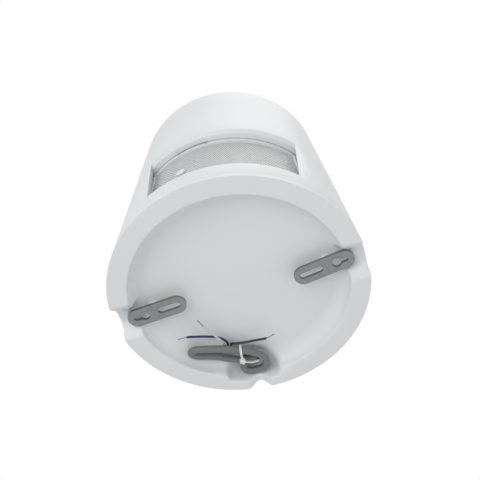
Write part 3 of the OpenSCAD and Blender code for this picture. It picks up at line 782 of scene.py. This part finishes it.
class SPEAKER_OT_grille(bpy.types.Operator):
    """Make the perforated grille"""

    bl_idname = "speaker.grille"
    bl_label = "Grille"

    def execute(self, context):
        sizes = context.scene.speaker_grille
        paint = mottled(
            "Steel sheet, powder-coated pale grey", sizes.paint, 0.5, 20 * MM, 0.7 * MM, 0.03 * MM, vary=0.03
        )
        cell = bpy.data.objects.new("hole_cell", hole_cell(sizes.pitch, sizes.hole, sizes.thick))
        sheet = bpy.data.objects.new("grille_sheet", bpy.data.meshes.new("grille_sheet"))
        context.scene.collection.objects.link(sheet)
        tree = perforated_tree()
        holes = sheet.modifiers.new("Holes", "NODES")
        holes.node_group = tree
        values = {
            "Cell": cell, "Material": paint, "Pitch": sizes.pitch, "Sweep": sizes.sweep,
            "Low": SHEET_LOW, "High": SHEET_HIGH, "Depth": SHEET_DEPTH,
        }
        for item in tree.interface.items_tree:
            if item.in_out == "INPUT" and item.name in values:
                holes[item.identifier] = values[item.name]
        bake(sheet)
        bpy.data.objects.remove(cell)
        close_edge(sheet.data)
        sharpen(sheet.data, 30)
        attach(sheet, "root")
        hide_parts("grille")
        return {"FINISHED"}


class SPEAKER_OT_straps(bpy.types.Operator):
    """Make the two hanging straps with their nuts and washers"""

    bl_idname = "speaker.straps"
    bl_label = "Hanging straps"

    def execute(self, context):
        straps = context.scene.speaker_straps
        dull = mottled(
            "Steel, punched and dull zinc plated", straps.steel, 0.5, 3 * MM, 0.4 * MM, 0.03 * MM,
            metallic=1.0, vary=0.14,
        )
        finished_copy("strap_left", "left_strap", straps.edge, dull)
        finished_copy("strap_right", "right_strap", straps.edge, dull)
        zinc = mottled(
            "Steel, bright zinc plated", shade("#B9BCBE"), 0.32, 2 * MM, 0.5 * MM, 0.02 * MM, metallic=1.0
        )
        for node in ("strap_washers", "strap_nuts", "top_plate", "back_plate", "transformer_bracket"):
            give(node, zinc)
        black = mottled(
            "Steel, phosphated black", shade("#4A4B4D"), 0.45, 1.5 * MM, 0.3 * MM, 0.02 * MM, metallic=1.0
        )
        for node in ("driver_screws", "transformer_screws"):
            give(node, black)
        return {"FINISHED"}


class SPEAKER_OT_cable(bpy.types.Operator):
    """Lay the cable with its tie"""

    bl_idname = "speaker.cable"
    bl_label = "Cable and tie"

    def execute(self, context):
        sizes = context.scene.speaker_cable
        jacket = along_surface("PVC jacket, extruded grey", sizes.jacket, 0.4, 1.52, 0.05)
        line = smooth_route(CABLE_ROUTE, CABLE_STEP)
        radii = [sizes.diameter / 2] * len(line)
        radii[-1] *= CABLE_END
        skin = tube_mesh("cable_jacket", [(line, radii, CABLE_SIDES, 0)])
        cable = link("cable_jacket", skin)
        cable.data.materials.append(jacket)
        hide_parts("cable")
        give("inner_cable", mottled("PVC jacket, inner end", sizes.jacket, 0.4, 5 * MM, 0.6 * MM, 0.02 * MM))
        nylon = mottled(
            "Nylon, moulded natural white", sizes.nylon, 0.35, 3 * MM, 0.5 * MM, 0.02 * MM,
            ior=1.53, vary=0.02,
        )
        tie = link("tie_strap", tie_mesh())
        tie.data.materials.append(nylon)
        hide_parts("cable_tie")
        return {"FINISHED"}


def ribbon(build, line, across, width, thick, closed=False):
    """Adds a flat band along a line, with softly rounded edges; across is its width direction."""
    section = [
        (-0.5, -0.28), (-0.42, -0.5), (0.42, -0.5), (0.5, -0.28),
        (0.5, 0.28), (0.42, 0.5), (-0.42, 0.5), (-0.5, 0.28),
    ]
    rings = []
    count = len(line)
    for i, point in enumerate(line):
        ahead = line[(i + 1) % count] if closed or i < count - 1 else line[i]
        behind = line[i - 1] if closed or i else line[i]
        out = (ahead - behind).normalized().cross(across).normalized()
        rings.append([build.verts.new(point + across * width * a + out * thick * b) for a, b in section])
    pairs = list(zip(rings, rings[1:])) + ([(rings[-1], rings[0])] if closed else [])
    for low, high in pairs:
        for k in range(len(section)):
            after = (k + 1) % len(section)
            build.faces.new((low[k], low[after], high[after], high[k])).smooth = True
    if not closed:
        build.faces.new(rings[0][::-1])
        build.faces.new(rings[-1])


def tie_mesh():
    """A cable tie: band round both strands, square head and curled tail."""
    build = bmesh.new()
    ends = [Vector((TIE_X, y, z)) for y, z in TIE_ENDS]
    way = (ends[1] - ends[0]).normalized()
    side = Vector((0, -way.z, way.y))
    loop = []
    for centre, turn in ((ends[1], 1), (ends[0], -1)):
        for i in range(TIE_TURN_STEPS + 1):
            angle = math.radians(-90 + 180 * i / TIE_TURN_STEPS)
            loop.append(centre + turn * TIE_R * (way * math.cos(angle) + side * math.sin(angle)))
    even = []
    for a, b in zip(loop, loop[1:] + loop[:1]):
        steps = max(1, int((b - a).length / TIE_STEP))
        even.extend(a.lerp(b, i / steps) for i in range(steps))
    ribbon(build, even, Vector((1, 0, 0)), TIE_WIDTH, TIE_THICK, closed=True)
    head = bmesh.ops.create_cube(build, size=1.0)["verts"]
    place = Matrix.Translation((TIE_X, HEAD_Y, HEAD_Z)) @ Matrix.Rotation(HEAD_TURN, 4, "X")
    place = place @ Matrix.Diagonal((*HEAD_SIZE, 1))
    bmesh.ops.transform(build, matrix=place, verts=head)
    edges = list({e for v in head for e in v.link_edges})
    bmesh.ops.bevel(build, geom=edges, offset=HEAD_EDGE, segments=3, profile=0.5, affect="EDGES")
    tail = []
    for i in range(TAIL_STEPS + 1):
        angle = math.radians(TAIL_FROM - TAIL_SWEEP * i / TAIL_STEPS)
        tail.append(TAIL_CENTRE + TAIL_R * Vector((math.cos(angle), math.sin(angle), 0)))
    ribbon(build, tail, Vector((0, 0, 1)), TIE_WIDTH, TIE_THICK)
    bmesh.ops.recalc_face_normals(build, faces=build.faces)
    mesh = bpy.data.meshes.new("tie_strap")
    build.to_mesh(mesh)
    build.free()
    sharpen(mesh, 40)
    return mesh


def wire_mesh(name, line, sizes):
    """A wire: its insulation, then seven fine strands twisted round each other."""
    run = 0.0
    cut = len(line) - 1
    total = route_length(line)
    for i, (a, b) in enumerate(zip(line, line[1:])):
        run += (b - a).length
        if run >= total - sizes.bare:
            cut = i + 1
            break
    insulation = line[: cut + 1]
    radii = [sizes.diameter / 2] * len(insulation)
    radii[-1] *= WIRE_END
    parts = [(insulation, radii, WIRE_SIDES, 0)]
    tip = line[max(0, cut - 1) :]
    ways, sides = ways_and_sides(tip)
    strand = sizes.strand
    parts.append((tip, [strand / 2] * len(tip), STRAND_SIDES, 1))
    for k in range(OUTER_STRANDS):
        path = []
        for i, (point, way, side) in enumerate(zip(tip, ways, sides)):
            angle = math.tau * (k / OUTER_STRANDS + i / STRAND_TURN)
            out = side * math.cos(angle) + way.cross(side) * math.sin(angle)
            path.append(point + out * strand * (1 + SPLAY * max(0, i - len(tip) + SPLAY_POINTS)))
        parts.append((path, [strand / 2] * len(path), STRAND_SIDES, 1))
    return tube_mesh(name, parts)


class SPEAKER_OT_wires(bpy.types.Operator):
    """Lay the three wires with their bared tips"""

    bl_idname = "speaker.wires"
    bl_label = "Wires"

    def execute(self, context):
        sizes = context.scene.speaker_wires
        tinned = along_surface("Copper strands, tinned", shade("#8E8B86"), 0.35, 1.5, 0.1)
        tinned.node_tree.nodes["Principled BSDF"].inputs["Metallic"].default_value = 1.0
        for name, route, colour, slot in (
            ("blue", BLUE_ROUTE, "#150B5E", "wire_blue_pvc"),
            ("white", WHITE_ROUTE, "#C9C9C6", "wire_white_pvc"),
            ("black", BLACK_ROUTE, "#0A0A0B", "wire_black_pvc"),
        ):
            pvc = along_surface(f"PVC insulation, {name}", shade(colour), 0.38, 1.52, 0.04)
            line = smooth_route(route, WIRE_STEP)
            wire = link(f"{name}_wire", wire_mesh(f"{name}_wire", line, sizes))
            wire.data.materials.append(pvc)
            wire.data.materials.append(tinned)
            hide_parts(f"wire_{name}")
        return {"FINISHED"}


class SPEAKER_OT_inside(bpy.types.Operator):
    """Finish the driver, the baffle and the line transformer"""

    bl_idname = "speaker.inside"
    bl_label = "Inside"

    def execute(self, context):
        finishes = {
            "baffle": mottled(
                "MDF board, raw", shade("#8C6B4A"), 0.8, 6 * MM, 0.8 * MM, 0.15 * MM, vary=0.25
            ),
            "driver_gasket": mottled(
                "Foam gasket, black", shade("#202021"), 0.85, 2 * MM, 0.6 * MM, 0.2 * MM
            ),
            "driver_basket": mottled(
                "Steel basket, black enamelled", shade("#2A2B2D"), 0.4, 8 * MM, 1 * MM, 0.04 * MM
            ),
            "driver_surround": mottled(
                "Butyl rubber surround", shade("#19191A"), 0.6, 5 * MM, 0.5 * MM, 0.03 * MM
            ),
            "driver_cone": mottled(
                "Paper pulp cone, pressed", shade("#3A3937"), 0.85, 1.5 * MM, 0.5 * MM, 0.12 * MM, vary=0.3
            ),
            "dust_cap": woven("Dust cap cloth, doped", shade("#1B1B1C"), 0.6, 0.6 * MM),
            "spider": woven("Spider cloth, resin stiffened", shade("#A8772F"), 0.75, 0.7 * MM),
            "voice_coil": layered("Copper winding, enamelled", shade("#B4612E"), 0.3, 0.3 * MM, metallic=1.0),
            "magnet": mottled(
                "Ferrite, sintered", shade("#2E2D2D"), 0.7, 1 * MM, 0.4 * MM, 0.06 * MM, vary=0.2
            ),
            "transformer_core": layered(
                "Silicon steel, laminated", shade("#6B6E73"), 0.45, 0.5 * MM, metallic=1.0
            ),
            "transformer_coil": layered("Polyester tape, yellow", shade("#C9A227"), 0.4, 1.2 * MM),
        }
        for node, material in finishes.items():
            give(node, material)
        return {"FINISHED"}


# Stage


def lamp(name, direction, distance, size, power):
    """A square lamp that looks at the middle of the speaker from a direction."""
    data = bpy.data.lights.new(name, "AREA")
    data.shape = "SQUARE"
    data.size = size
    data.energy = power
    light = bpy.data.objects.new(name, data)
    way = Vector(direction).normalized()
    centre = Vector((0, 0, HEIGHT / 2))
    turn = way.to_track_quat("Z", "Y").to_matrix().to_4x4()
    light.matrix_world = Matrix.Translation(centre + way * distance) @ turn
    bpy.context.scene.collection.objects.link(light)


def even_surround(scene, surround):
    """White all round: plain to the camera and in reflections, and dimmer as light."""
    world = bpy.data.worlds.new("Even surround")
    world.use_nodes = True
    tree = world.node_tree
    tree.nodes.clear()
    path = add(tree, "ShaderNodeLightPath").outputs
    direct = {0: path["Is Camera Ray"], 1: path["Is Transmission Ray"]}
    seen = add(tree, "ShaderNodeMath", direct, operation="MAXIMUM").outputs[0]
    seen = add(tree, "ShaderNodeMath", {0: seen, 1: path["Is Glossy Ray"]}, operation="MAXIMUM").outputs[0]
    strength = add(tree, "ShaderNodeMapRange", {"Value": seen, "To Min": surround, "To Max": 1.0}).outputs[0]
    sky = add(tree, "ShaderNodeBackground", {"Color": (1, 1, 1, 1), "Strength": strength})
    add(tree, "ShaderNodeOutputWorld", {"Surface": sky.outputs[0]})
    scene.world = world
    scene.view_settings.view_transform = "Standard"


def floor_paint(colour):
    """Pale matt paint above, and clear from below, because the camera looks up through the floor."""
    material, tree = new_material("Floor, pale matt")
    place = add(tree, "ShaderNodeTexCoord").outputs["Object"]
    noise = add(tree, "ShaderNodeTexNoise", {"Vector": place, "Scale": 12.0, "Detail": 3.0}).outputs[0]
    tone = two_tones(tree, noise, scaled(colour, 0.99), scaled(colour, 1.0))
    pale = add(tree, "ShaderNodeBsdfDiffuse", {"Color": tone})
    clear = add(tree, "ShaderNodeBsdfTransparent")
    behind = add(tree, "ShaderNodeNewGeometry").outputs["Backfacing"]
    both = add(tree, "ShaderNodeMixShader", {0: behind, 1: pale.outputs[0], 2: clear.outputs[0]})
    finish_material(tree, both)
    return material


def lay_floor(scene, colour):
    """A round floor just below the speaker's rim."""
    material = floor_paint(colour)
    build = bmesh.new()
    bmesh.ops.create_circle(build, cap_ends=True, segments=FLOOR_SIDES, radius=FLOOR_R)
    mesh = bpy.data.meshes.new("floor")
    build.to_mesh(mesh)
    build.free()
    mesh.transform(Matrix.Translation((0, 0, -FLOOR_DROP)))
    if mesh.polygons[0].normal.z < 0:
        mesh.flip_normals()
    mesh.materials.append(material)
    floor = bpy.data.objects.new("floor", mesh)
    scene.collection.objects.link(floor)
    floor.visible_shadow = False
    floor.visible_diffuse = False
    floor.visible_glossy = False


def place_camera(scene):
    """The camera that took the photo, as fitted to its outlines."""
    data = bpy.data.cameras.new("camera")
    data.sensor_width = SENSOR
    data.lens = FOCAL_PIXELS * SENSOR / PHOTO_PIXELS
    data.clip_start = 0.02
    data.clip_end = 20.0
    camera = bpy.data.objects.new("camera", data)
    axes = Matrix((CAMERA_RIGHT, CAMERA_UP, CAMERA_BACK)).transposed().to_4x4()
    camera.matrix_world = Matrix.Translation(CAMERA_PLACE) @ axes
    scene.collection.objects.link(camera)
    scene.camera = camera


class SPEAKER_OT_stage(bpy.types.Operator):
    """Set up the floor, the light and the camera"""

    bl_idname = "speaker.stage"
    bl_label = "Stage"

    def execute(self, context):
        stage = context.scene.speaker_stage
        even_surround(context.scene, stage.surround)
        lay_floor(context.scene, stage.floor)
        for name, (direction, distance, size) in LAMPS.items():
            lamp(name, direction, distance, size, getattr(stage, name))
        place_camera(context.scene)
        return {"FINISHED"}


class SPEAKER_PT_panel(bpy.types.Panel):
    bl_label = "Garden speaker"
    bl_idname = "SPEAKER_PT_panel"
    bl_space_type = "VIEW_3D"
    bl_region_type = "UI"
    bl_category = "Speaker"

    def draw(self, context):
        for operator in OPERATORS:
            self.layout.operator(operator.bl_idname)
        for name, group in SETTINGS.items():
            box = self.layout.box()
            for key in group.__annotations__:
                box.prop(getattr(context.scene, name), key)


SETTINGS = {
    "speaker_plastic": SpeakerPlastic,
    "speaker_grille": SpeakerGrille,
    "speaker_straps": SpeakerStraps,
    "speaker_cable": SpeakerCable,
    "speaker_wires": SpeakerWires,
    "speaker_stage": SpeakerStage,
}
OPERATORS = (
    SPEAKER_OT_stage,
    SPEAKER_OT_housing,
    SPEAKER_OT_grille,
    SPEAKER_OT_straps,
    SPEAKER_OT_cable,
    SPEAKER_OT_wires,
    SPEAKER_OT_inside,
)


def register():
    for name, group in SETTINGS.items():
        bpy.utils.register_class(group)
        setattr(bpy.types.Scene, name, bpy.props.PointerProperty(type=group))
    for item in (*OPERATORS, SPEAKER_PT_panel):
        bpy.utils.register_class(item)


def unregister():
    for item in (SPEAKER_PT_panel, *reversed(OPERATORS)):
        bpy.utils.unregister_class(item)
    for name, group in reversed(SETTINGS.items()):
        delattr(bpy.types.Scene, name)
        bpy.utils.unregister_class(group)


def main():
    register()
    bpy.ops.speaker.stage()
    bpy.ops.speaker.housing()
    bpy.ops.speaker.grille()
    bpy.ops.speaker.straps()
    bpy.ops.speaker.cable()
    bpy.ops.speaker.wires()
    bpy.ops.speaker.inside()


if __name__ == "__main__":
    main()
